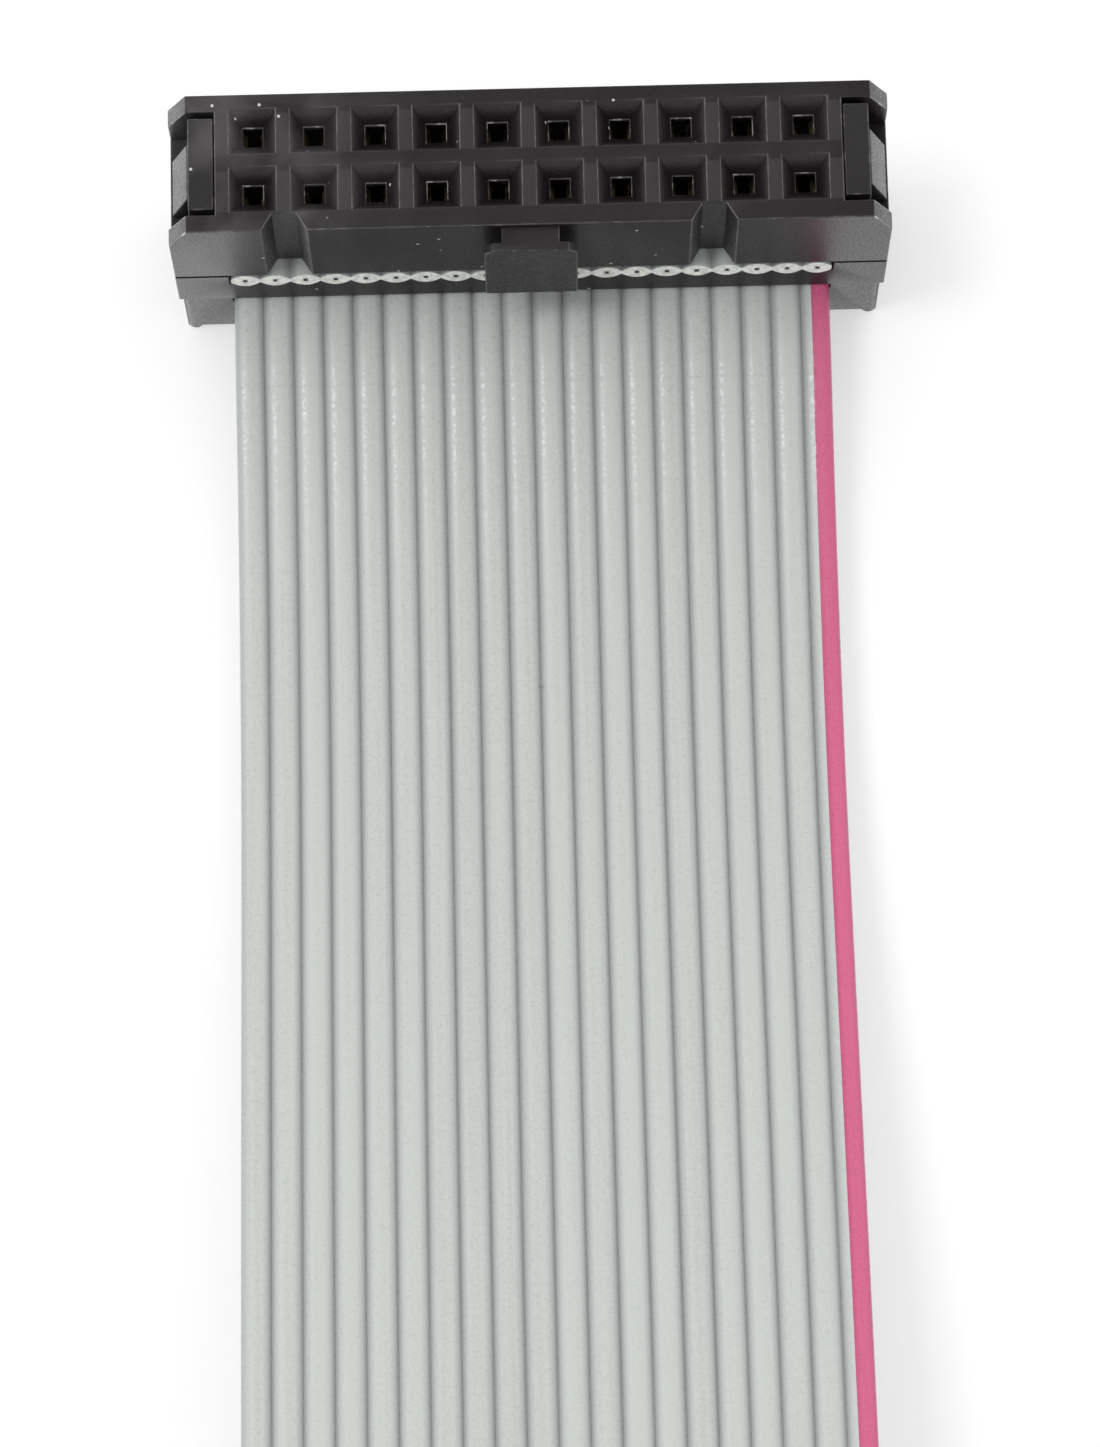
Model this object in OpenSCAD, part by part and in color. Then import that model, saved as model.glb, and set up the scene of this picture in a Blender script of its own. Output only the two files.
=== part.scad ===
// Twenty-way flat ribbon cable with a moulded socket connector pressed on each end.
// X runs along the connectors, the ribbon leaves the near one towards -Y, and the
// sockets open upwards. The origin is under the middle of the near connector.

/* [Contact grid] */
// Number of contact columns in each connector
columns = 10; // [6:1:12]
// Spacing of the contact columns and rows, twice the spacing of the wires
pitch = 2.54; // [2.5:0.01:2.6]
// How far the contact rows stand behind the middle of the body
row_shift = 0.1; // [0:0.05:0.2]

/* [Socket body] */
// Height of the socket body above the ribbon
body_h = 5.6; // [5.4:0.1:6.5]
// Width of body and cover, front to back
body_w = 6.0; // [5.9:0.1:6.6]
// Width of the bevel at each end of the mating face
end_bevel_w = 0.8; // [0.5:0.05:0.9]
// Height of the bevel at each end of the mating face
end_bevel_h = 1.6; // [1:0.1:2.2]
// Width of each square lead-in at the mating face
funnel_w = 1.98; // [1.8:0.02:2.1]
// Depth of each lead-in
funnel_h = 0.8; // [0.6:0.05:1.1]
// Width of each square pin hole
pin_hole = 0.82; // [0.75:0.01:0.95]
// Thickness of the wall that the pin holes pass through
pin_wall = 0.3; // [0.25:0.05:0.4]
// Width of the chamber round each contact, along the row
chamber_w = 1.9; // [1.8:0.02:2]
// Width of the chamber round each contact, across the rows
chamber_l = 1.7; // [1.6:0.02:1.8]

/* [Front wall] */
// Width of a front notch at its back
notch_back = 1.0; // [0.8:0.05:1.2]
// Width of a front notch at the front face
notch_front = 1.9; // [1.6:0.05:2.2]
// Depth of a front notch
notch_depth = 0.73; // [0.5:0.01:0.75]
// Width of the key's front plate
key_w = 3.85; // [3.5:0.05:4.2]
// How far the key stands out of the front face
key_proud = 1.05; // [0.9:0.05:1.2]
// Thickness of the key's front plate
key_plate = 0.4; // [0.3:0.05:0.5]
// Width of the stem that carries the key's plate
key_stem = 2.4; // [2:0.05:2.8]
// How far the key ends below the mating face
key_drop = 0.3; // [0.2:0.05:0.5]
// Width of the slanted upper corners of the key's plate
key_corner = 0.35; // [0.2:0.05:0.5]

/* [Cover] */
// Thickness of the cover between the two layers of ribbon
cover_web = 1.9; // [1.8:0.05:2.2]
// Depth of the cover's pockets for the tips of the wire forks
fork_pocket = 0.5; // [0.4:0.05:0.6]
// Wall between the end of the ribbon's recess and the slot for a latch arm
arm_wall = 0.255; // [0.2:0.005:0.4]
// Thickness of a latch arm
arm_t = 1.05; // [0.9:0.05:1.1]
// Width of a latch arm, front to back
arm_w = 4.0; // [3.6:0.05:4.1]
// How far a latch arm stands in from the end of the connector
arm_inset = 0.9; // [0.85:0.01:1]
// Clear space in front of and behind a latch arm
arm_side_gap = 0.25; // [0.15:0.05:0.3]
// How far the latch hook stands out of its arm
hook_reach = 0.8; // [0.6:0.05:0.85]
// Width of the latch hook, front to back
hook_w = 2.4; // [2:0.05:2.8]
// Height of the hook from its catch to the top of its slope
hook_h = 2.2; // [1.8:0.05:2.4]
// Height of the upright lip at the hook's catch
hook_lip = 0.25; // [0.15:0.05:0.4]
// How far the hook still stands out at the top of its slope
hook_nose = 0.1; // [0.05:0.05:0.2]
// Height of the bar across the end slot that the hook holds on to
keeper_h = 2.4; // [2:0.05:2.6]

/* [Strain relief] */
// Thickness of the bar that grips the ribbon under the cover
bar_h = 3.0; // [2.6:0.05:3.6]
// How much shorter than the cover the bar is, at each end
bar_inset = 0.15; // [0.1:0.05:0.4]
// How much narrower than the cover the bar is, at each side
bar_setback = 0.2; // [0.1:0.05:0.3]
// Width of the upright rib at each corner of the bar
rib_w = 0.7; // [0.5:0.05:0.8]
// How far each corner rib stands out
rib_proud = 0.12; // [0.05:0.01:0.18]
// Thickness of the tongue that locks the bar to the cover
tongue_t = 0.6; // [0.5:0.05:0.7]
// Width of the tongue, front to back
tongue_w = 2.4; // [2:0.05:2.8]
// Height of the tongue above the bar
tongue_h = 2.2; // [2:0.05:2.3]
// How far the tongue stands out past the ribbon's edge
tongue_out = 0.5; // [0.4:0.05:0.6]
// How far the tongue's barb stands out
barb = 0.2; // [0.15:0.01:0.25]
// Height of the barb
barb_h = 0.6; // [0.5:0.05:0.7]

/* [Ribbon] */
// Thickness of the ribbon over its wires
ribbon_t = 0.9; // [0.8:0.01:0.95]
// Flat edge outside the last wire, from the wire's centre
edge_w = 0.6; // [0.5:0.01:0.63]
// Thickness of each stranded wire
wire_d = 0.38; // [0.32:0.01:0.42]
// How far the cut ends of the ribbon lie behind the connector's front
cut_back = 0.05; // [0:0.01:0.15]
// Width of the red stripe along the ribbon's edge
stripe_w = 0.79; // [0.6:0.01:1]
// Thickness of the stripe's layer of colour
stripe_t = 0.04; // [0.02:0.01:0.08]

/* [Contacts] */
// Thickness of the contact strip
metal_t = 0.25; // [0.2:0.01:0.3]
// Width of one tine of a wire fork
tine_w = 0.3; // [0.25:0.01:0.32]
// Length of the fork below the body
tine_len = 1.3; // [1.2:0.05:1.35]
// Width of a tine's blunt tip
tine_tip = 0.1; // [0.05:0.01:0.15]
// Height of solid metal between the fork's slot and the body
fork_web = 0.1; // [0.05:0.01:0.15]
// Height of the contact's plate inside the body
plate_h = 1.0; // [0.9:0.05:1.2]
// Height of the plate's shoulders, which carry the springs
shoulder_h = 0.6; // [0.5:0.05:0.7]
// Width of the two springs that hold a pin
spring_w = 1.0; // [0.8:0.05:1.2]
// Gap between the two springs where they hold a pin
spring_gap = 0.5; // [0.4:0.02:0.58]
// Height of the straight foot of a spring above the plate
spring_foot = 0.5; // [0.4:0.05:0.7]
// Height of a spring's flared tip
flare_h = 0.7; // [0.6:0.05:0.8]
// How far a spring's tip flares out
flare = 0.2; // [0.15:0.01:0.25]

/* [Clearances] */
// Gap between the ribbon and the plastic on each side of it
grip_gap = 0.05; // [0.03:0.01:0.08]
// Gap between pieces that lie against each other
seat_gap = 0.05; // [0.03:0.01:0.08]
// Gap between the ribbon's edge and the plastic beside it
edge_gap = 0.08; // [0.05:0.01:0.12]
// Gap round each wire in its insulation, and between a wire and its fork
wire_gap = 0.01; // [0.005:0.005:0.02]
// Gap round a fork where it pierces the insulation
pierce_gap = 0.02; // [0.01:0.01:0.04]
// Gap between a contact and the walls of its chamber
chamber_gap = 0.1; // [0.05:0.01:0.12]
// Gap above the tips of the springs
spring_drop = 0.2; // [0.1:0.05:0.3]
// Gap round the tips of a fork in the cover's pocket
pocket_gap = 0.1; // [0.05:0.01:0.15]

/* [Hidden] */
$fn = 48;
// Largest turn between two points of the ribbon's bends, and how far they may cut an arc short
bend_step = 18;
chord_gap = 0.08;
// How far a cut or a joined shape runs past the face that it meets
eps = 0.01;

wires = 2 * columns;
wire_pitch = pitch / 2;
slot_h = ribbon_t + 2 * grip_gap;
ribbon_w = (wires - 1) * wire_pitch + 2 * edge_w;
recess_w = ribbon_w + 2 * edge_gap;

// Levels, from the foot to the mating face
cover_z = bar_h + slot_h;
cover_top = cover_z + cover_web;
body_z = cover_top + slot_h;
face_z = body_z + body_h;
exit_z = bar_h + slot_h / 2;
crimp_z = cover_top + slot_h / 2;
keeper_top = body_z + keeper_h;
tongue_top = bar_h + tongue_h;
barb_z = tongue_top - barb_h;
plate_top = body_z + plate_h;
chamber_top = face_z - funnel_h - pin_wall;

// Places along the connector
arm_x = recess_w / 2 + arm_wall + seat_gap;
body_len = 2 * (arm_x + arm_t + arm_inset);
keeper_x = arm_x + arm_t + seat_gap;
tongue_x = recess_w / 2 + tongue_out;
left_notch_x = (1 - columns / 2) * pitch;
right_notch_x = (columns / 2 - 2) * pitch;

fork_w = 2 * tine_w + wire_d + 2 * wire_gap;
plate_half = chamber_w / 2 - chamber_gap;

// The ribbon folds round the back of the cover, and its cut end shows at the front
fold_r = (cover_web + slot_h) / 2;
fold_y = body_w / 2 - cover_web / 2 + fold_r;
cut_y = -body_w / 2 + cut_back;

// Place of the far connector, and the free stretch of ribbon between the two, as
// corners [y, z, bend radius]: both are chosen by hand, as a short cable lies
far_y = -175;
FREE = [
    [-5.5, exit_z, 20],
    [-18, 1, 55],
    [-76, 13.5, 200],
    [-165, exit_z, 100]
];

// The whole route: cut end, fold round the near cover, free stretch, fold round the far cover, cut end
ROUTE = concat(
    [[cut_y, crimp_z, 0], [fold_y, crimp_z, fold_r], [fold_y, exit_z, fold_r]],
    FREE,
    [[far_y - fold_y, exit_z, fold_r], [far_y - fold_y, crimp_z, fold_r], [far_y - cut_y, crimp_z, 0]]
);

function column_x(c) = (c - (columns - 1) / 2) * pitch;
function row_y(r) = row_shift + (r == 0 ? -1 : 1) * pitch / 2;
function wire_x(k) = (k - (wires - 1) / 2) * wire_pitch;

// Contact n, counted from the striped edge: odd ones in the front row, even ones behind
function contact_column(n) = columns - ceil(n / 2);
function contact_row(n) = (n + 1) % 2;
function contact_wire(n) = wires - n;

NEAR = ["near_socket_body", "near_cover", "near_strain_relief"];
FAR = ["far_socket_body", "far_cover", "far_strain_relief"];
CABLE = ["ribbon_insulation", "index_stripe", "conductors"];

// A block between two opposite corners
module block(low, high) {
    translate(low) cube(high - low);
}

// An outline in X and Z, drawn out along Y between two planes
module along_y(from, to) {
    translate([0, to, 0]) rotate([90, 0, 0]) linear_extrude(to - from) children();
}

// An outline in Y and Z, drawn out along X between two planes
module along_x(from, to) {
    translate([from, 0, 0]) rotate([90, 0, 90]) linear_extrude(to - from) children();
}

// Draws a piece at the +X end and its mirror image at the other
module at_both_ends() {
    children();
    mirror([1, 0, 0]) children();
}

// Lead-in outline: a funnel from the mating face down to the pin hole
module funnel_outline() {
    bottom = face_z - funnel_h;
    polygon([
        [-pin_hole / 2, bottom],
        [pin_hole / 2, bottom],
        [funnel_w / 2, face_z],
        [funnel_w / 2, face_z + eps],
        [-funnel_w / 2, face_z + eps],
        [-funnel_w / 2, face_z]
    ]);
}

// Square lead-ins: the funnels of the columns crossed with the funnels of the rows
module lead_ins() {
    intersection() {
        for (c = [0:columns - 1])
            translate([column_x(c), 0, 0])
                along_y(-body_w / 2, body_w / 2) funnel_outline();
        for (r = [0, 1])
            translate([0, row_y(r), 0])
                along_x(-body_len / 2, body_len / 2) funnel_outline();
    }
}

// Pin hole, contact chamber and the slit that seats the contact's plate
module contact_way(n) {
    x = column_x(contact_column(n));
    y = row_y(contact_row(n));
    hole = pin_hole / 2;
    translate([x, y, 0]) {
        block([-hole, -hole, chamber_top - eps], [hole, hole, face_z - funnel_h + eps]);
        block([-chamber_w / 2, -chamber_l / 2, body_z - eps], [chamber_w / 2, chamber_l / 2, chamber_top]);
    }
    half_x = fork_w / 2 + pierce_gap;
    half_y = metal_t / 2 + pierce_gap;
    translate([wire_x(contact_wire(n)), y, 0])
        block([-half_x, -half_y, body_z - eps], [half_x, half_y, plate_top + seat_gap]);
}

// Notch down the whole front wall, wider at the front
module front_notch(x) {
    back = -body_w / 2 + notch_depth;
    front = -body_w / 2 - eps;
    translate([x, 0, body_z - eps])
        linear_extrude(body_h + 2 * eps)
            polygon([
                [-notch_back / 2, back],
                [-notch_front / 2, front],
                [notch_front / 2, front],
                [notch_back / 2, back]
            ]);
}

// Key in the middle of the front: a plate with slanted corners, carried by a stem
module key() {
    top = face_z - key_drop;
    front = -body_w / 2 - key_proud;
    along_y(front, front + key_plate)
        polygon([
            [-key_w / 2, body_z],
            [key_w / 2, body_z],
            [key_w / 2, top - key_corner],
            [key_w / 2 - key_corner, top],
            [-key_w / 2 + key_corner, top],
            [-key_w / 2, top - key_corner]
        ]);
    block([-key_stem / 2, front + key_plate - eps, body_z], [key_stem / 2, -body_w / 2 + eps, top]);
}

// Slot down one end of the body for the cover's latch arm, with the keeper bar left below
module end_slot() {
    half = arm_w / 2 + arm_side_gap;
    block([arm_x - seat_gap, -half, body_z - eps], [keeper_x, half, face_z + eps]);
    block([keeper_x - eps, -half, keeper_top], [body_len / 2 + eps, half, face_z + eps]);
}

// Socket body: the moulding that holds the contacts and takes the pins
module socket_body() {
    color([0.12, 0.12, 0.13])
        difference() {
            union() {
                along_y(-body_w / 2, body_w / 2)
                    polygon([
                        [-body_len / 2, body_z],
                        [body_len / 2, body_z],
                        [body_len / 2, face_z - end_bevel_h],
                        [body_len / 2 - end_bevel_w, face_z],
                        [-body_len / 2 + end_bevel_w, face_z],
                        [-body_len / 2, face_z - end_bevel_h]
                    ]);
                key();
            }
            lead_ins();
            for (n = [1:wires]) contact_way(n);
            front_notch(left_notch_x);
            front_notch(right_notch_x);
            at_both_ends() end_slot();
        }
}

// Latch arm with its outward hook, at the +X end of the cover
module latch_arm() {
    face = arm_x + arm_t;
    catch = keeper_top + seat_gap;
    block([arm_x, -arm_w / 2, cover_top - eps], [face, arm_w / 2, face_z - seat_gap]);
    along_y(-hook_w / 2, hook_w / 2)
        polygon([
            [face - eps, catch],
            [face + hook_reach, catch],
            [face + hook_reach, catch + hook_lip],
            [face + hook_nose, catch + hook_h],
            [face - eps, catch + hook_h]
        ]);
}

// Pocket in the top of the cover for the tips of one fork. The pockets stand evenly about
// the middle and are wide enough for the shift of the rows, so a cover fits either way round.
module fork_tip_pocket(n) {
    half_x = fork_w / 2 + pocket_gap;
    half_y = metal_t / 2 + row_shift + pocket_gap;
    translate([wire_x(contact_wire(n)), row_y(contact_row(n)) - row_shift, 0])
        block([-half_x, -half_y, cover_top - fork_pocket], [half_x, half_y, cover_top + eps]);
}

// Pocket in the underside of the cover for the strain relief's tongue and barb
module tongue_pocket() {
    half = tongue_w / 2 + seat_gap;
    inner = tongue_x - seat_gap;
    outer = tongue_x + tongue_t + seat_gap;
    top = tongue_top + seat_gap;
    block([inner, -half, cover_z - eps], [outer, half, top]);
    block([inner, -half, barb_z - seat_gap], [outer + barb, half, top]);
}

// Cover: presses the ribbon on to the forks and latches into the body's ends
module cover() {
    nose_y = body_w / 2 - cover_web / 2;
    color([0.13, 0.13, 0.14])
        difference() {
            union() {
                along_x(-recess_w / 2, recess_w / 2) {
                    translate([-body_w / 2, cover_z]) square([body_w / 2 + nose_y, cover_web]);
                    translate([nose_y, cover_z + cover_web / 2]) circle(d = cover_web);
                }
                at_both_ends() {
                    block(
                        [recess_w / 2 - eps, -body_w / 2, cover_z],
                        [body_len / 2, body_w / 2, body_z - seat_gap]
                    );
                    latch_arm();
                }
            }
            for (n = [1:wires]) fork_tip_pocket(n);
            at_both_ends() tongue_pocket();
        }
}

// Tongue with its barb, at the +X end of the strain relief
module lock_tongue() {
    outer = tongue_x + tongue_t;
    along_y(-tongue_w / 2, tongue_w / 2)
        polygon([
            [tongue_x, bar_h - eps],
            [outer, bar_h - eps],
            [outer, barb_z],
            [outer + barb, barb_z],
            [outer, tongue_top],
            [tongue_x, tongue_top]
        ]);
}

// Strain relief: the bar under the cover that clamps the ribbon where it leaves
module strain_relief() {
    end = body_len / 2 - bar_inset;
    side = body_w / 2 - bar_setback;
    rib_y = side + rib_proud - rib_w / 2;
    top = cover_z - seat_gap;
    color([0.13, 0.13, 0.14]) {
        block([-end, -side, 0], [end, side, bar_h]);
        at_both_ends() {
            block([recess_w / 2, -side, bar_h - eps], [end, side, top]);
            lock_tongue();
            for (s = [-1, 1])
                translate([end - rib_w / 2, s * rib_y, 0]) cylinder(d = rib_w, h = top);
        }
    }
}

// Outline of the fork below the body, centred on its wire, with a V that leads the wire in
module fork_outline() {
    slot = wire_d / 2 + wire_gap;
    foot = body_z - tine_len;
    difference() {
        translate([-fork_w / 2, foot]) square([fork_w, tine_len + plate_h]);
        translate([-slot, foot - eps]) square([2 * slot, tine_len - fork_web + eps]);
        translate([0, foot - eps])
            polygon([
                [-fork_w / 2 + tine_tip, 0],
                [0, fork_w / 2 - tine_tip],
                [fork_w / 2 - tine_tip, 0]
            ]);
    }
}

// One spring: rises from the plate, leans in to touch the pin and flares out at its tip
module pin_spring() {
    root = plate_top - shoulder_h / 2;
    bend = plate_top + spring_foot;
    tip = chamber_top - spring_drop;
    waist = tip - flare_h;
    touch = spring_gap / 2;
    along_y(-spring_w / 2, spring_w / 2)
        polygon([
            [plate_half - metal_t, root],
            [plate_half, root],
            [plate_half, bend],
            [touch + metal_t, waist],
            [touch + metal_t + flare, tip],
            [touch + flare, tip],
            [touch, waist],
            [plate_half - metal_t, bend]
        ]);
}

// Contact: a stamped fork for the wire below, and two springs for the pin above
module contact(n) {
    x = column_x(contact_column(n));
    y = row_y(contact_row(n));
    color([0.78, 0.74, 0.66])
        translate([x, y, 0]) {
            along_y(-metal_t / 2, metal_t / 2) {
                translate([wire_x(contact_wire(n)) - x, 0]) fork_outline();
                translate([-plate_half, plate_top - shoulder_h]) square([2 * plate_half, shoulder_h]);
            }
            for (s = [0, 1]) mirror([s, 0, 0]) pin_spring();
        }
}

// Heading in degrees from corner i of the route to the next
function heading(i) = atan2(ROUTE[i + 1][1] - ROUTE[i][1], ROUTE[i + 1][0] - ROUTE[i][0]);

// Turn at corner i, positive to the left
function turn(i) = let (d = heading(i) - heading(i - 1)) d > 180 ? d - 360 : d < -180 ? d + 360 : d;

// Length that the bend at corner i takes from each of its two straights
function trim(i) = i == 0 || i == len(ROUTE) - 1 ? 0 : ROUTE[i][2] * tan(abs(turn(i)) / 2);

function corner(i) = [ROUTE[i][0], ROUTE[i][1]];
function unit(a) = [cos(a), sin(a)];

// Length of the straight from corner i
function run(i) = norm(corner(i + 1) - corner(i)) - trim(i) - trim(i + 1);

// Steps that the bend at corner i takes: even to the eye, and never far off its arc
function bend_steps(i) = let (
    flat_step = 2 * acos(1 - chord_gap / ROUTE[i][2])
) ceil(abs(turn(i)) / min(bend_step, flat_step));

// Points round the bend at corner i, as [y, z, heading]
function bend_points(i) = let (
    a = heading(i - 1),
    side = sign(turn(i)),
    centre = corner(i) - trim(i) * unit(a) + side * ROUTE[i][2] * unit(a + 90),
    steps = bend_steps(i)
) [
    for (s = [run(i - 1) > eps ? 0 : 1 : steps])
        let (b = a + turn(i) * s / steps)
        concat(centre - side * ROUTE[i][2] * unit(b + 90), [b])
];

// The route's middle line from cut end to cut end, run past each end by a given length
function middle_line(past) = let (
    last = len(ROUTE) - 1,
    a = heading(0),
    b = heading(last - 1)
) concat(
    [concat(corner(0) - past * unit(a), [a])],
    [for (i = [1:last - 1]) each bend_points(i)],
    [concat(corner(last) + past * unit(b), [b])]
);

// Side outline of a strip along the route, between two distances from the middle line. The
// side with negative distances is the ribbon's upper face where it lies free.
function side_outline(from, to, past) = let (line = middle_line(past)) concat(
    [for (p = line) [p[0], p[1]] + to * unit(p[2] + 90)],
    [for (i = [len(line) - 1:-1:0]) [line[i][0], line[i][1]] + from * unit(line[i][2] + 90)]
);

// A square strand of a given size along the route, in the place of wire k
module strand(k, size, past) {
    along_x(wire_x(k) - size / 2, wire_x(k) + size / 2)
        polygon(side_outline(-size / 2, size / 2, past));
}

// The stripe's layer, let into the upper face along the edge of the last wire
module stripe_layer(past) {
    along_x(ribbon_w / 2 - stripe_w, ribbon_w / 2 + past)
        polygon(side_outline(-ribbon_t / 2 - past, -ribbon_t / 2 + stripe_t, past));
}

// Openings that the forks of both connectors cut round wires first to last
module fork_cuts(first, last) {
    half = [fork_w / 2 + pierce_gap, metal_t / 2 + pierce_gap, slot_h];
    for (y = [0, far_y], k = [first:last])
        translate([wire_x(k), y + row_y(contact_row(wires - k)), crimp_z])
            block(-half, half);
}

// Grey insulation round all the wires
module ribbon_insulation() {
    color([0.72, 0.75, 0.74])
        difference() {
            along_x(-ribbon_w / 2, ribbon_w / 2) polygon(side_outline(-ribbon_t / 2, ribbon_t / 2, 0));
            for (k = [0:wires - 1]) strand(k, wire_d + 2 * wire_gap, eps);
            stripe_layer(eps);
            fork_cuts(0, wires - 1);
        }
}

// Red stripe that marks the first contact's wire
module index_stripe() {
    color([0.78, 0.2, 0.4])
        difference() {
            stripe_layer(0);
            fork_cuts(wires - 1, wires - 1);
        }
}

// Wires, one solid each, from one cut end to the other
module conductors() {
    color([0.75, 0.74, 0.72])
        for (k = [0:wires - 1]) strand(k, wire_d, 0);
}

// Puts a piece in the far connector, as it stands or turned end for end
module far(turned = false) {
    translate([0, far_y, 0]) rotate(turned ? 180 : 0) children();
}

socket_body();  // near_socket_body
cover();  // near_cover
strain_relief();  // near_strain_relief
far() socket_body();  // far_socket_body
far(turned = true) cover();  // far_cover
far(turned = true) strain_relief();  // far_strain_relief
ribbon_insulation();
index_stripe();
conductors();
for (n = [1:wires]) {
    contact(n);
    far() contact(n);
}
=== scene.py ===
# A twenty-way flat ribbon cable, dressed for its picture: a grey ribbon with one red edge wire,
# and a black moulded socket connector pressed on each end. After the camera, the table and the
# light, the sections follow the cable as it is put together: the ribbon, its wires, the contacts,
# the socket bodies, the covers and the strain reliefs. The last one says how the cable lies.
import math

import bmesh
import bpy
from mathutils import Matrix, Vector


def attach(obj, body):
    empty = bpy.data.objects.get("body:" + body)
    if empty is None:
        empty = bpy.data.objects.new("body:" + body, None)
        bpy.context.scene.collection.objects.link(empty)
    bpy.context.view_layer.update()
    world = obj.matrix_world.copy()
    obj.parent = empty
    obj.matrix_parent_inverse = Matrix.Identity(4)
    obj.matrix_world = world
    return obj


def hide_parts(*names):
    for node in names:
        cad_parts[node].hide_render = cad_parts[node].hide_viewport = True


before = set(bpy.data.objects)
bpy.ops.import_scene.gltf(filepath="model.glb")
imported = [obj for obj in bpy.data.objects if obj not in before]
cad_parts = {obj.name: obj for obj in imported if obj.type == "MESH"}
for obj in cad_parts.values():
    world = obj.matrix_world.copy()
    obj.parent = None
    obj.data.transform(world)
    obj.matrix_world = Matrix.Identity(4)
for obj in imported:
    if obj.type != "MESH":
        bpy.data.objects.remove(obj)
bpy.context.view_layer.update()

# Camera: a long lens nearly straight above the near connector, tipped a little towards its
# key side, so that the ribbon leaves through the bottom edge of the picture.
MM = 0.001
eye = Vector((-0.241, -85.894, 246.24)) * MM
tip, lean, roll = math.radians(14.77), math.radians(-0.13), math.radians(-1.37)
focal_pixels = 6000
picture_height = 1447
lens = bpy.data.cameras.new("picture_camera")
lens.lens = focal_pixels / picture_height * lens.sensor_width
lens.clip_start, lens.clip_end = 0.01, 5
camera = bpy.data.objects.new("picture_camera", lens)
camera.rotation_mode = "ZYX"
camera.rotation_euler = (tip, lean, roll)
camera.location = eye
bpy.context.scene.collection.objects.link(camera)
bpy.context.scene.camera = camera
bpy.context.scene.view_settings.view_transform = "Standard"

# Table: a plain white sweep that the cable stands on. It shows as white to the camera, brighter
# still in reflections, most of all on the left, and keeps a part of the shadow.
table_size = 3.0
table_tone = 0.86
shadow_share = 0.6
camera_glow, left_glow, right_glow = 1.15, 1.9, 1.65
left_edge, right_edge = -0.03, 0.03
bm = bmesh.new()
bmesh.ops.create_grid(bm, x_segments=1, y_segments=1, size=table_size / 2)
table_mesh = bpy.data.meshes.new("table")
bm.to_mesh(table_mesh)
bm.free()
table = bpy.data.objects.new("table", table_mesh)
bpy.context.scene.collection.objects.link(table)


class Look:
    """A node tree under construction: each method adds a node and returns its output."""

    def __init__(self, tree):
        self.nodes, self.links = tree.nodes, tree.links
        self.place = self.nodes.new("ShaderNodeTexCoord").outputs["Object"]

    def link(self, value, socket):
        if isinstance(value, tuple):
            socket.default_value = value + (1,)
        elif isinstance(value, (int, float)):
            socket.default_value = value
        else:
            self.links.new(value, socket)

    def axis(self, name):
        parts = self.nodes.new("ShaderNodeSeparateXYZ")
        self.links.new(self.place, parts.inputs["Vector"])
        return parts.outputs[name]

    def math(self, operation, a, b=0.0):
        made = self.nodes.new("ShaderNodeMath")
        made.operation = operation
        self.link(a, made.inputs[0])
        self.link(b, made.inputs[1])
        return made.outputs[0]

    def noise(self, scale, detail=2, stretch=None):
        made = self.nodes.new("ShaderNodeTexNoise")
        made.inputs["Scale"].default_value = scale
        made.inputs["Detail"].default_value = detail
        place = self.place
        if stretch:
            mapping = self.nodes.new("ShaderNodeMapping")
            mapping.inputs["Scale"].default_value = stretch
            self.links.new(place, mapping.inputs["Vector"])
            place = mapping.outputs["Vector"]
        self.links.new(place, made.inputs["Vector"])
        return made.outputs["Fac"]

    def ranged(self, value, low, high, to_low=0.0, to_high=1.0):
        made = self.nodes.new("ShaderNodeMapRange")
        made.interpolation_type = "SMOOTHSTEP"
        ends = (("From Min", low), ("From Max", high), ("To Min", to_low), ("To Max", to_high))
        for name, end in ends + (("Value", value),):
            self.link(end, made.inputs[name])
        return made.outputs["Result"]

    def mixed(self, share, a, b):
        made = self.nodes.new("ShaderNodeMix")
        made.data_type = "RGBA"
        self.link(share, made.inputs["Factor"])
        self.link(a, made.inputs["A"])
        self.link(b, made.inputs["B"])
        return made.outputs["Result"]

    def specks(self, scale, radius, kept):
        """Small dots: one in each cell of a Voronoi pattern that passes the draw."""
        made = self.nodes.new("ShaderNodeTexVoronoi")
        made.inputs["Scale"].default_value = scale
        self.links.new(self.place, made.inputs["Vector"])
        draw = self.nodes.new("ShaderNodeSeparateColor")
        self.links.new(made.outputs["Color"], draw.inputs["Color"])
        dots = self.ranged(made.outputs["Distance"], radius, radius * 0.6)
        return self.math("MULTIPLY", dots, self.ranged(draw.outputs[0], 1 - kept, 1.02 - kept))

    def bump(self, height, strength, distance):
        made = self.nodes.new("ShaderNodeBump")
        made.inputs["Strength"].default_value = strength
        made.inputs["Distance"].default_value = distance
        self.links.new(height, made.inputs["Height"])
        return made.outputs["Normal"]


white = bpy.data.materials.new("white_table")
white.use_nodes = True
white.node_tree.nodes.clear()
look = Look(white.node_tree)
matt = look.nodes.new("ShaderNodeBsdfDiffuse")
matt.inputs["Color"].default_value = (table_tone, table_tone, table_tone, 1)
rays = look.nodes.new("ShaderNodeLightPath").outputs
sheen = look.ranged(look.axis("X"), left_edge, right_edge, left_glow, right_glow)
mirrored = look.math("MULTIPLY", rays["Is Glossy Ray"], sheen)
glow = look.nodes.new("ShaderNodeEmission")
look.link(look.math("MAXIMUM", mirrored, camera_glow), glow.inputs["Strength"])
seen = look.math("MULTIPLY", rays["Is Camera Ray"], 1 - shadow_share)
blend = look.nodes.new("ShaderNodeMixShader")
look.link(look.math("MAXIMUM", seen, rays["Is Glossy Ray"]), blend.inputs[0])
look.link(matt.outputs[0], blend.inputs[1])
look.link(glow.outputs[0], blend.inputs[2])
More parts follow.
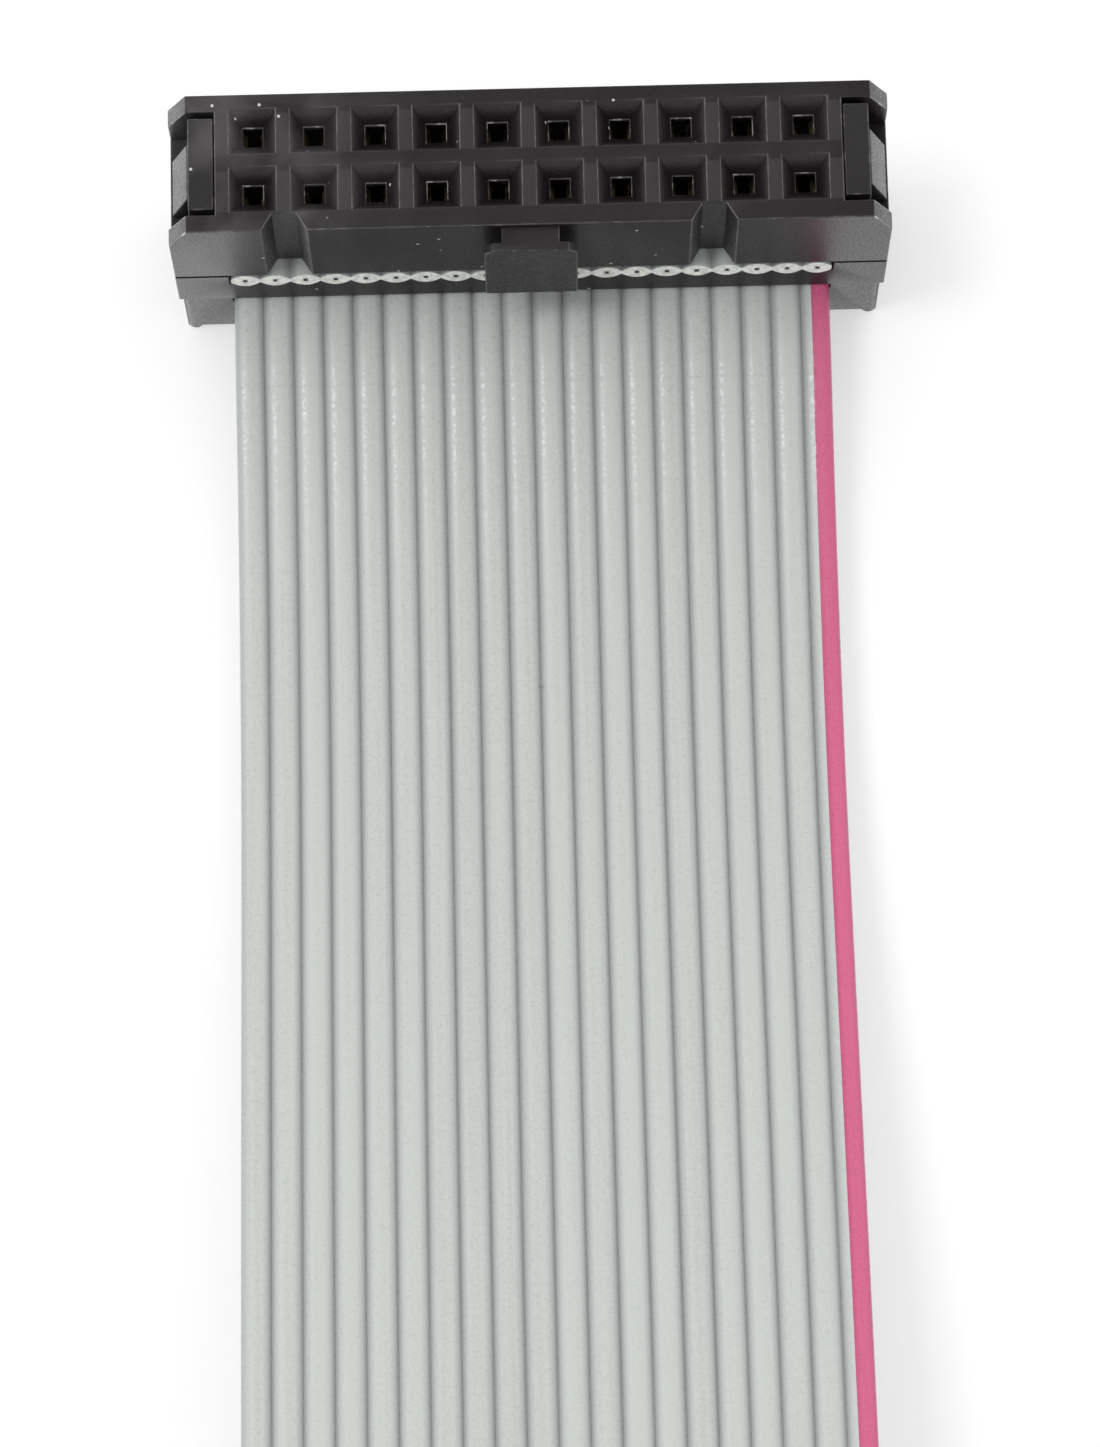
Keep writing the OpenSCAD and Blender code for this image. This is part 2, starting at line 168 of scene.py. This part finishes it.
look.link(blend.outputs[0], look.nodes.new("ShaderNodeOutputMaterial").inputs["Surface"])
table_mesh.materials.append(white)

# Light: a white room, lightest overhead and behind, whose walls shine in the black plastic, and
# one lamp high on the left that puts a sheen on the ribbon where it leaves the near connector.
side_light, overhead_light, back_light = 0.6, 1.12, 0.25
wall_shine, ceiling_shine = 1.9, 0.78
wall_top, ceiling_edge = 0.1, 0.8
lamp_place, lamp_target = Vector((-0.2, -0.035, 0.5)), Vector((0, 0, 0.007))
lamp_width, lamp_watts = 0.14, 0.8
room = bpy.data.worlds.new("room")
bpy.context.scene.world = room
room.use_nodes = True
look = Look(room.node_tree)
rise = look.axis("Z")
rays = look.nodes.new("ShaderNodeLightPath").outputs
mirrored = rays["Is Glossy Ray"]
sky = look.ranged(rise, 0, 1, side_light, overhead_light)
sky = look.math("ADD", sky, look.math("MULTIPLY", look.axis("Y"), back_light))
matt_part = look.math("MULTIPLY", look.math("SUBTRACT", 1, mirrored), sky)
shine = look.ranged(rise, wall_top, ceiling_edge, wall_shine, ceiling_shine)
mirror_part = look.math("MULTIPLY", mirrored, shine)
backdrop = look.nodes["Background"]
backdrop.inputs["Color"].default_value = (1, 1, 1, 1)
seen = look.math("MULTIPLY", rays["Is Camera Ray"], camera_glow)
lit = look.math("ADD", matt_part, mirror_part)
look.link(look.math("MAXIMUM", lit, seen), backdrop.inputs["Strength"])

softbox = bpy.data.lights.new("left_softbox", "AREA")
softbox.shape = "SQUARE"
softbox.size = lamp_width
softbox.energy = lamp_watts
lamp = bpy.data.objects.new("left_softbox", softbox)
lamp.location = lamp_place
lamp.rotation_euler = (lamp_target - lamp_place).to_track_quat("-Z", "Y").to_euler()
bpy.context.scene.collection.objects.link(lamp)

# Ribbon: one sheet of flexible grey insulation moulded round twenty stranded wires, with a red
# stripe painted along one edge of its upper face. It is one strip of true length, which folds
# round the back of each cover and is cut off at its front.
wire_count = 20
wire_pitch = 1.27
wire_bore, wire_size = 0.24, 0.22
ribbon_thick = 0.9
web_free, web_pressed = 0.34, 0.22
pressed_length = 5
cut_slant, cut_proud = 0.14, 0.11
edge_width, stripe_width = 0.6, 0.79
ribbon_half = (wire_count - 1) / 2 * wire_pitch + edge_width
stripe_start = ribbon_half - stripe_width
lobe_power, lobe_steps = 2.3, 6
least_step = 0.02
slot_height = 1.0
bar_height, cover_height, body_width = 3.0, 1.9, 6.0
cut_back = 0.05
far_connector_y = -175
exit_level = bar_height + slot_height / 2
crimp_level = bar_height + slot_height + cover_height + slot_height / 2
fold_radius = (cover_height + slot_height) / 2
fold_reach = body_width / 2 - cover_height / 2 + fold_radius
cut_y = -body_width / 2 + cut_back
station_step, station_turn = 2.5, 0.13
tolerance = 0.001

# Corners of the ribbon's route as (y, height, bend radius), from cut end to cut end.
ribbon_route = [
    (cut_y, crimp_level, 0),
    (fold_reach, crimp_level, fold_radius),
    (fold_reach, exit_level, fold_radius),
    (-5.5, exit_level, 20),
    (-18, 1, 55),
    (-76, 13.5, 200),
    (-165, exit_level, 100),
    (far_connector_y - fold_reach, exit_level, fold_radius),
    (far_connector_y - fold_reach, crimp_level, fold_radius),
    (far_connector_y - cut_y, crimp_level, 0),
]


def stations(route):
    """Points along the route, each with its heading, the corners of the route rounded."""
    out = []
    for i, (y, z, radius) in enumerate(route):
        here = Vector((y, z))
        if i in (0, len(route) - 1):
            other = Vector(route[1][:2]) if i == 0 else Vector(route[-2][:2])
            along = (other - here) if i == 0 else (here - other)
            arc = [(here, math.atan2(along.y, along.x))]
        else:
            back = (Vector(route[i - 1][:2]) - here).normalized()
            on = (Vector(route[i + 1][:2]) - here).normalized()
            start = math.atan2(-back.y, -back.x)
            turn = (math.atan2(on.y, on.x) - start + math.pi) % (2 * math.pi) - math.pi
            trim = radius * math.tan(abs(turn) / 2)
            side = math.copysign(1, turn)
            inwards = Vector((-math.sin(start), math.cos(start)))
            centre = here + back * trim + side * radius * inwards
            length_steps = math.ceil(abs(turn) * radius / station_step)
            steps = max(3, length_steps, math.ceil(abs(turn) / station_turn))
            arc = []
            for k in range(steps + 1):
                angle = start + turn * k / steps
                place = centre + side * radius * Vector((math.sin(angle), -math.cos(angle)))
                arc.append((place, angle))
        if out:
            gap = (arc[0][0] - out[-1][0]).length
            if gap < least_step:
                out.pop()
            else:
                count = max(1, round(gap / station_step))
                first, angle = out[-1]
                out += [(first.lerp(arc[0][0], k / count), arc[0][1]) for k in range(1, count)]
        out += arc
    return out


ribbon_stations = stations(ribbon_route)


def wire_x(k):
    return (k - (wire_count - 1) / 2) * wire_pitch


def lobed_outline():
    """Outline of the insulation as (x, height where it is pressed, height where it is free)."""
    half = wire_pitch / 2
    top = [(-ribbon_half, web_pressed / 2, web_free / 2)]
    for k in range(wire_count):
        for s in range(-lobe_steps, lobe_steps + 1):
            share = abs(s / lobe_steps)
            x = wire_x(k) + s / lobe_steps * half
            pressed = web_pressed + (ribbon_thick - web_pressed) * (1 - share**2)
            free = web_free + (ribbon_thick - web_free) * math.sqrt(1 - share**lobe_power)
            if top[-1][0] + least_step < x < ribbon_half - least_step:
                top.append((x, pressed / 2, free / 2))
    top.append((ribbon_half, web_pressed / 2, web_free / 2))
    low = [(x, -a, -b) for x, a, b in reversed(top)]
    place = next(i for i, point in enumerate(top) if point[0] > stripe_start)
    top[place] = (stripe_start,) + top[place][1:]
    return top + low


def wire_outlines(size):
    """A square of the given size round the middle of each wire."""
    half = size / 2
    corners = [(-half, -half), (half, -half), (half, half), (-half, half)]
    return [[(wire_x(k) + x, z, z) for x, z in corners] for k in range(wire_count)]


def swept(name, outlines, places):
    """A closed strip drawn from place to place, pressed flatter near its ends, with bores where
    one outline lies in another. Its faces have material 0 on the skin, 1 on the painted stripe
    and 2 on the cut ends."""
    bm = bmesh.new()
    own = bm.verts.layers.float_vector.new("own")

    def loop(points):
        verts = []
        for point in points:
            verts.append(bm.verts.new((point[0], 0, point[1])))
            verts[-1][own] = point
        return [bm.edges.new((a, b)) for a, b in zip(verts, verts[1:] + verts[:1])]

    edges = []
    for outline in outlines:
        edges += loop(outline)

    def cut_face(ring):
        made = bmesh.ops.triangle_fill(bm, use_beauty=True, edges=ring)
        for face in made["geom"]:
            if isinstance(face, bmesh.types.BMFace):
                face.material_index = 2

    def put(verts, place, free, slant=0, proud=0):
        (y, z), angle = place
        along = Vector((0, math.cos(angle), math.sin(angle)))
        up = Vector((0, along.z, -along.y))
        for v in verts:
            x, pressed, loose = v[own]
            height = pressed + (loose - pressed) * free
            v.co = (Vector((x, y, z)) + up * height + along * (height * slant + proud)) * MM

    cut_face(edges)
    whole = sum((b[0] - a[0]).length for a, b in zip(places, places[1:]))
    gone = 0
    put(bm.verts, places[0], 0, -cut_slant, -cut_proud)
    for before, after in zip(places, places[1:]):
        step = bmesh.ops.extrude_edge_only(bm, edges=edges)
        verts = [v for v in step["geom"] if isinstance(v, bmesh.types.BMVert)]
        edges = [e for e in step["geom"] if isinstance(e, bmesh.types.BMEdge)]
        for face in step["geom"]:
            if isinstance(face, bmesh.types.BMFace):
                painted = stripe_start - tolerance
                top = all(v[own].x > painted and v[own].z > 0 for v in face.verts)
                side = all(v[own].x > ribbon_half - tolerance for v in face.verts)
                face.material_index = int(top or side)
        gone += (after[0] - before[0]).length
        put(verts, after, min(1, max(0, min(gone, whole - gone) - pressed_length)))
    put(verts, places[-1], 0, cut_slant, cut_proud)
    cut_face(edges)
    bmesh.ops.recalc_face_normals(bm, faces=bm.faces[:])
    bm.verts.index_update()

    def face_order(face):
        """The face's three lowest vertices as one number. Extrusion adds its faces in any order,
        and sorted by this the mesh comes out the same each time."""
        low, middle, high = sorted(v.index for v in face.verts)[:3]
        return (low * len(bm.verts) + middle) * len(bm.verts) + high

    bm.faces.sort(key=face_order)
    mesh = bpy.data.meshes.new(name)
    bm.to_mesh(mesh)
    bm.free()
    mesh.attributes.remove(mesh.attributes["own"])
    return mesh


insulation = swept("insulation", [lobed_outline()] + wire_outlines(wire_bore), ribbon_stations)
for face in insulation.polygons:
    face.use_smooth = True
insulation.set_sharp_from_angle(angle=math.radians(50))
ribbon = bpy.data.objects.new("ribbon", insulation)
bpy.context.scene.collection.objects.link(ribbon)


def effect_group(name, inputs):
    """Starts a shader node group that gives a surface its colour, roughness and normal. Each of
    its inputs is a (name, kind). Returns its look, what it is given and what it puts out."""
    tree = bpy.data.node_groups.new(name, "ShaderNodeTree")
    for label, kind in inputs:
        tree.interface.new_socket(label, in_out="INPUT", socket_type=f"NodeSocket{kind}")
    for label, kind in (("Color", "Color"), ("Roughness", "Float"), ("Normal", "Vector")):
        tree.interface.new_socket(label, in_out="OUTPUT", socket_type=f"NodeSocket{kind}")
    look = Look(tree)
    given = look.nodes.new("NodeGroupInput").outputs
    return look, given, look.nodes.new("NodeGroupOutput").inputs


def coated(name, effect, specular, **values):
    """A material whose surface takes its look from the named effect, given these values."""
    made = bpy.data.materials.new(name)
    made.use_nodes = True
    surface = made.node_tree.nodes["Principled BSDF"]
    surface.inputs["Specular IOR Level"].default_value = specular
    group = made.node_tree.nodes.new("ShaderNodeGroup")
    group.node_tree = bpy.data.node_groups[effect]
    for label, value in values.items():
        group.inputs[label].default_value = value + (1,) if isinstance(value, tuple) else value
    for label in ("Color", "Roughness", "Normal"):
        socket = "Base Color" if label == "Color" else label
        made.node_tree.links.new(group.outputs[label], surface.inputs[socket])
    return made


# Soft plastic: each lobe a tone of its own, its flanks painted darker as shade in the grooves,
# streaks along the ribbon, a dusty grain that breaks up the sheen, and a few specks. The painted
# shade deepens from Start to End, as shares of the pitch to either side of Middle.
flank_shade_share = 0.36
streak_scale = (5000, 60, 60)
fleck = (0.1, 0.1, 0.11)
skin_inputs = [("Tone", "Color"), ("Painted Flank Shade", "Color")]
skin_inputs += [("Middle", "Float"), ("Start", "Float"), ("End", "Float")]
look, given, result = effect_group("ribbed_skin_with_shade", skin_inputs)
lobe = look.math("MULTIPLY", look.axis("X"), 1 / (wire_pitch * MM))
across = look.math("FRACT", lobe)
off_centre = look.math("ABSOLUTE", look.math("SUBTRACT", across, given["Middle"]))
# Painted shade: each lobe's flanks darken towards the grooves.
painted_flank_shade = look.ranged(off_centre, given["Start"], given["End"], 0, flank_shade_share)
shade = look.nodes.new("ShaderNodeTexWhiteNoise")
shade.noise_dimensions = "1D"
look.link(look.math("FLOOR", lobe), shade.inputs["W"])
streaks = look.ranged(look.noise(1, 4, streak_scale), 0.3, 0.7, 0.96, 1.02)
grain = look.noise(6500, 3)
value = look.math("ADD", streaks, look.ranged(grain, 0.3, 0.7, -0.03, 0.03))
value = look.math("MULTIPLY", value, look.ranged(shade.outputs["Value"], 0, 1, 0.97, 1.02))
colour = look.mixed(value, (0, 0, 0), given["Tone"])
colour = look.mixed(painted_flank_shade, colour, given["Painted Flank Shade"])
colour = look.mixed(look.specks(420, 0.06, 0.012), colour, fleck)
look.link(colour, result["Color"])
look.link(look.ranged(grain, 0.35, 0.65, 0.27, 0.5), result["Roughness"])
look.link(look.bump(grain, 0.2, 0.00002), result["Normal"])

soft_specular = 0.5
# The Flank colours are painted shade, not a colour of the plastic.
grey = {"Tone": (0.482, 0.511, 0.493), "Painted Flank Shade": (0.15, 0.15, 0.17)}
grey |= {"Middle": 0.5, "Start": 0.2, "End": 0.46}
red = {"Tone": (0.575, 0.105, 0.225), "Painted Flank Shade": (0.26, 0.012, 0.06)}
red |= {"Middle": 0.66, "Start": 0.12, "End": 0.3}
insulation.materials.append(coated("grey_insulation", "ribbed_skin_with_shade", soft_specular, **grey))
insulation.materials.append(coated("red_stripe", "ribbed_skin_with_shade", soft_specular, **red))

# Cut insulation: its pale inside, torn a little by the blade.
torn_grey, torn_white = (0.66, 0.67, 0.63), (0.88, 0.89, 0.85)
cut = bpy.data.materials.new("cut_insulation")
cut.use_nodes = True
surface = cut.node_tree.nodes["Principled BSDF"]
surface.inputs["Roughness"].default_value = 0.7
look = Look(cut.node_tree)
torn = look.ranged(look.noise(4000, 3), 0.35, 0.65)
look.link(look.mixed(torn, torn_grey, torn_white), surface.inputs["Base Color"])
insulation.materials.append(cut)
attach(ribbon, "root")
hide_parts("ribbon_insulation", "index_stripe")

# Wires: twenty bundles of tinned copper strand, moulded into the insulation, so that they are
# part of the ribbon's mesh. Only their cut ends show, dulled, dark over the middle and pale at
# the rim.
dark_end, bright = (0.035, 0.033, 0.036), (0.6, 0.6, 0.56)
tinned = bpy.data.materials.new("tinned_wire")
tinned.use_nodes = True
metal = tinned.node_tree.nodes["Principled BSDF"]
look = Look(tinned.node_tree)
lobe = look.math("FRACT", look.math("MULTIPLY", look.axis("X"), 1 / (wire_pitch * MM)))
off_centre = look.math("ABSOLUTE", look.math("SUBTRACT", lobe, 0.5))
ragged = look.math("ADD", off_centre, look.math("MULTIPLY", look.noise(5000), 0.1))
# The cut ends are dark near each wire's middle and pale towards its rim.
pale_share = look.ranged(ragged, 0.09, 0.14)
look.link(look.mixed(pale_share, dark_end, bright), metal.inputs["Base Color"])
look.link(look.ranged(look.noise(7000), 0.3, 0.7, 0.1, 0.6), metal.inputs["Metallic"])
metal.inputs["Roughness"].default_value = 0.6
wire_slot = len(insulation.materials)
insulation.materials.append(tinned)
strands = swept("strands", wire_outlines(wire_size), ribbon_stations)
bm = bmesh.new()
bm.from_mesh(insulation)
insulation_faces = len(bm.faces)
bm.from_mesh(strands)
bm.faces.ensure_lookup_table()
for face in bm.faces[insulation_faces:]:
    face.material_index = wire_slot
bm.to_mesh(insulation)
bm.free()
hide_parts("conductors")

# Contacts: forty forks stamped from phosphor bronze strip and plated. Each is pushed up into its
# chamber, where it grips a pin, and its two tines pierce the insulation round one wire.
dull_plating, bright_plating = (0.62, 0.52, 0.34), (0.8, 0.7, 0.5)
plated = bpy.data.materials.new("plated_bronze")
plated.use_nodes = True
strip = plated.node_tree.nodes["Principled BSDF"]
strip.inputs["Metallic"].default_value = 1
look = Look(plated.node_tree)
rolled = look.noise(1500, 3)
plating = look.mixed(look.ranged(rolled, 0.3, 0.7), dull_plating, bright_plating)
look.link(plating, strip.inputs["Base Color"])
look.link(look.ranged(rolled, 0.3, 0.7, 0.22, 0.4), strip.inputs["Roughness"])
for n in range(1, wire_count + 1):
    for end in ("near", "far"):
        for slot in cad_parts[f"{end}_contact_{n}"].material_slots:
            slot.material = plated

# Socket bodies: black glass-filled moulding, one piece on each end, with a funnel and a square
# hole for each pin, a key and two notches on the front wall. The mould leaves its corners
# slightly round; pale flash, dust, wear and a painted highlight lie along them, and they are
# painted black as shade where body and cover meet.
rim_width, joint_width = 0.05, 0.08
rim_angle, smooth_angle = math.radians(30), math.radians(20)
merge_distance, flat_angle = 0.002, math.radians(0.5)
face_level, funnel_height, pin_wall = 12.5, 0.8, 0.3
funnel_floor = face_level - funnel_height
chamber_ceiling = funnel_floor - pin_wall
half_gap = 0.025
joint_levels = (exit_level + slot_height / 2 - half_gap, crimp_level + slot_height / 2 - half_gap)
joint_reach = 0.04
covered_x, covered_y = 12.6, 2.5


def moulded(name, node, hidden, wear_and_highlight):
    """A merged copy of a node's mesh with its outward corners rounded. hidden says of a place
    whether it is inside, where the corners stay sharp, and the last argument says how pale a
    corner is, from wear and painted highlight."""
    bm = bmesh.new()
    bm.from_mesh(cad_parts[node].data)
    bmesh.ops.remove_doubles(bm, verts=bm.verts[:], dist=merge_distance * MM)
    bmesh.ops.dissolve_limit(bm, angle_limit=flat_angle, verts=bm.verts[:], edges=bm.edges[:])
    rim = bm.faces.layers.float.new("rim")

    def round_off(width, wanted, worn_and_highlit):
        corners = []
        for e in bm.edges:
            middle = (e.verts[0].co + e.verts[1].co) / 2 / MM
            sharp = e.is_manifold and e.is_convex and e.calc_face_angle() > rim_angle
            if sharp and wanted(middle) and not hidden(middle):
                corners.append(e)
        rounded = bmesh.ops.bevel(
            bm, geom=corners, offset=width * MM, offset_type="OFFSET", affect="EDGES",
            segments=2, profile=0.5, material=-1, clamp_overlap=False,
        )
        for face in rounded["faces"]:
            face[rim] = worn_and_highlit(face.calc_center_median() / MM, face.normal)

    def off_joint(p):
        return min(abs(p.z - level) for level in joint_levels)

    # Corners at the joints get a rim of -1, which the finish paints black as shade.
    round_off(joint_width, lambda p: off_joint(p) < joint_reach, lambda p, n: -1)
    round_off(rim_width, lambda p: off_joint(p) > joint_width + joint_reach, wear_and_highlight)
    for face in bm.faces:
        face.smooth = True
    mesh = bpy.data.meshes.new(name)
    bm.to_mesh(mesh)
    bm.free()
    mesh.set_sharp_from_angle(angle=smooth_angle)
    piece = bpy.data.objects.new(name, mesh)
    bpy.context.scene.collection.objects.link(piece)
    return piece


# Moulded black: pale streaks stretched upright, painted reflections strongest at the left end,
# and a painted sheen on the lands between the columns of sockets, then the corners, pale from
# wear and painted highlight, the flash, the dust, and the joints, painted black as shade. The
# attribute rim is how pale a rounded corner is, from wear and painted highlight, and below zero
# on the joints.
streak_reflection_tone, land_sheen_tone, worn_and_highlit = (0.062, 0.058, 0.06), (0.044, 0.039, 0.039), (0.17, 0.16, 0.16)
flash, dust = (0.5, 0.48, 0.46), (0.5, 0.49, 0.49)
look, given, result = effect_group("moulded_finish_with_painted_light", [("Tone", "Color")])
rim = look.nodes.new("ShaderNodeAttribute")
rim.attribute_name = "rim"
wear_and_highlight = look.math("MAXIMUM", rim.outputs["Fac"], 0)
# Painted reflection: pale streaks stretched upright, strongest at the left end and faint from
# just left of the middle on.
painted_reflection_streaks = look.ranged(look.noise(300, 3, (1, 1, 0.25)), 0.35, 0.7)
painted_reflection_streaks = look.math("MULTIPLY", painted_reflection_streaks, look.ranged(look.axis("X"), -0.014, -0.004, 1, 0.1))
colour = look.mixed(painted_reflection_streaks, given["Tone"], streak_reflection_tone)
per_socket = 1 / (2 * wire_pitch * MM)
side = look.math("MULTIPLY", look.math("ABSOLUTE", look.axis("X")), per_socket)
column = look.math("FRACT", look.math("ADD", side, 0.5))
column = look.math("ABSOLUTE", look.math("SUBTRACT", column, 0.5))
row = look.math("FRACT", look.math("MULTIPLY", look.axis("Y"), per_socket))
row = look.math("ABSOLUTE", look.math("SUBTRACT", row, 0.5))
# Painted sheen: a paler colour on the top face between the columns of sockets.
painted_land_sheen = look.math(
    "MULTIPLY", look.ranged(column, 0.08, 0.13, 0.45, 0), look.ranged(row, 0.33, 0.37, 1, 0)
)
painted_land_sheen = look.math("MULTIPLY", painted_land_sheen, look.ranged(look.axis("Z"), 0.01244, 0.01248))
colour = look.mixed(painted_land_sheen, colour, land_sheen_tone)
# Pale rounded corners, from wear and painted highlight.
rubbed_and_highlit = look.math("MULTIPLY", wear_and_highlight, look.ranged(look.noise(900, 3), 0.35, 0.6, 0.6, 1))
colour = look.mixed(rubbed_and_highlit, colour, worn_and_highlit)
ragged = look.ranged(look.noise(2200), 0.52, 0.64)
ragged = look.math("MULTIPLY", look.ranged(wear_and_highlight, 0.5, 0.9, 0.1, 1), ragged)
ragged = look.math("MULTIPLY", ragged, look.ranged(wear_and_highlight, 0.05, 0.1))
colour = look.mixed(ragged, colour, flash)
colour = look.mixed(look.specks(1100, 0.09, 0.4), colour, dust)
# Painted shade: the rounded joints between body and cover are coloured black.
joint_shade = look.ranged(rim.outputs["Fac"], -0.9, -0.1, 1, 0)
look.link(look.mixed(joint_shade, colour, (0, 0, 0)), result["Color"])
grain = look.noise(9000)
matt = look.ranged(grain, 0.3, 0.7, 0.33, 0.5)
look.link(look.math("MAXIMUM", matt, joint_shade), result["Roughness"])
look.link(look.bump(grain, 0.3, 0.00002), result["Normal"])

hard_specular = 0.31
socket_tone = (0.0075, 0.0045, 0.0058)
socket_black = coated("socket_black", "moulded_finish_with_painted_light", hard_specular, Tone=socket_tone)


def socket_wear_and_highlight(p, n):
    """Pale edges, from wear and painted highlight, at the pin holes, the lead-ins' sides, the
    front's top edge and the notches.
    """
    # Each value is how pale the corner is, from wear and painted highlight.
    near_by = 2 * rim_width
    if abs(p.z - funnel_floor) < near_by:
        return 1
    if p.z > face_level - near_by:
        fronts = [middle - body_width / 2 for middle in (0, far_connector_y)]
        if n.y < -0.15 and min(abs(p.y - front) for front in fronts) < near_by:
            return 0.25
        return 0.5 if abs(n.x) > 0.3 else 0.04
    return 0.35 if n.y < -0.3 and abs(n.x) > 0.15 else 0.1


def covered(p, middle_y):
    """Whether a place lies inside the connector, between its outer walls."""
    return abs(p.x) < covered_x and abs(p.y - middle_y) < covered_y


for end, middle_y in (("near", 0), ("far", far_connector_y)):
    socket = moulded(
        f"{end}_body_moulding",
        f"{end}_socket_body",
        lambda p: p.z < chamber_ceiling + least_step and covered(p, middle_y),
        socket_wear_and_highlight,
    )
    socket.data.materials.append(socket_black)
    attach(socket, "root")
    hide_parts(f"{end}_socket_body")

# Covers: the bar that presses the ribbon on to the forks, round at the back where the ribbon
# folds over it, with a hooked latch arm at each end. Same plastic from another mould.
# Covers' and clamps' corners are this pale, from wear and painted highlight.
cover_wear_and_highlight = 0.12
cover_tone = (0.0105, 0.0085, 0.0095)
cover_black = coated("cover_black", "moulded_finish_with_painted_light", hard_specular, Tone=cover_tone)
for end, middle_y in (("near", 0), ("far", far_connector_y)):
    cover = moulded(
        f"{end}_cover_moulding",
        f"{end}_cover",
        lambda p: covered(p, middle_y),
        lambda p, n: cover_wear_and_highlight,
    )
    cover.data.materials.append(cover_black)
    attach(cover, "root")
    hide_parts(f"{end}_cover")

# Strain reliefs: a loose bar with a ribbed corner at each end, snapped into the cover by a barbed
# tongue on either side of the ribbon, so that a pull on the ribbon doesn't reach the forks.
for end in ("near", "far"):
    clamp = moulded(
        f"{end}_clamp_moulding",
        f"{end}_strain_relief",
        lambda p: False,
        lambda p, n: cover_wear_and_highlight,
    )
    clamp.data.materials.append(cover_black)
    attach(clamp, "root")
    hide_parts(f"{end}_strain_relief")

# Cable: the ribbon leaves the near connector with the whole far connector on its end, and lies
# loose on the table in one low wave. Both connectors are pressed on for good.
far_pieces = ["far_body_moulding", "far_cover_moulding", "far_clamp_moulding"]
far_pieces += [f"far_contact_{n}" for n in range(1, wire_count + 1)]
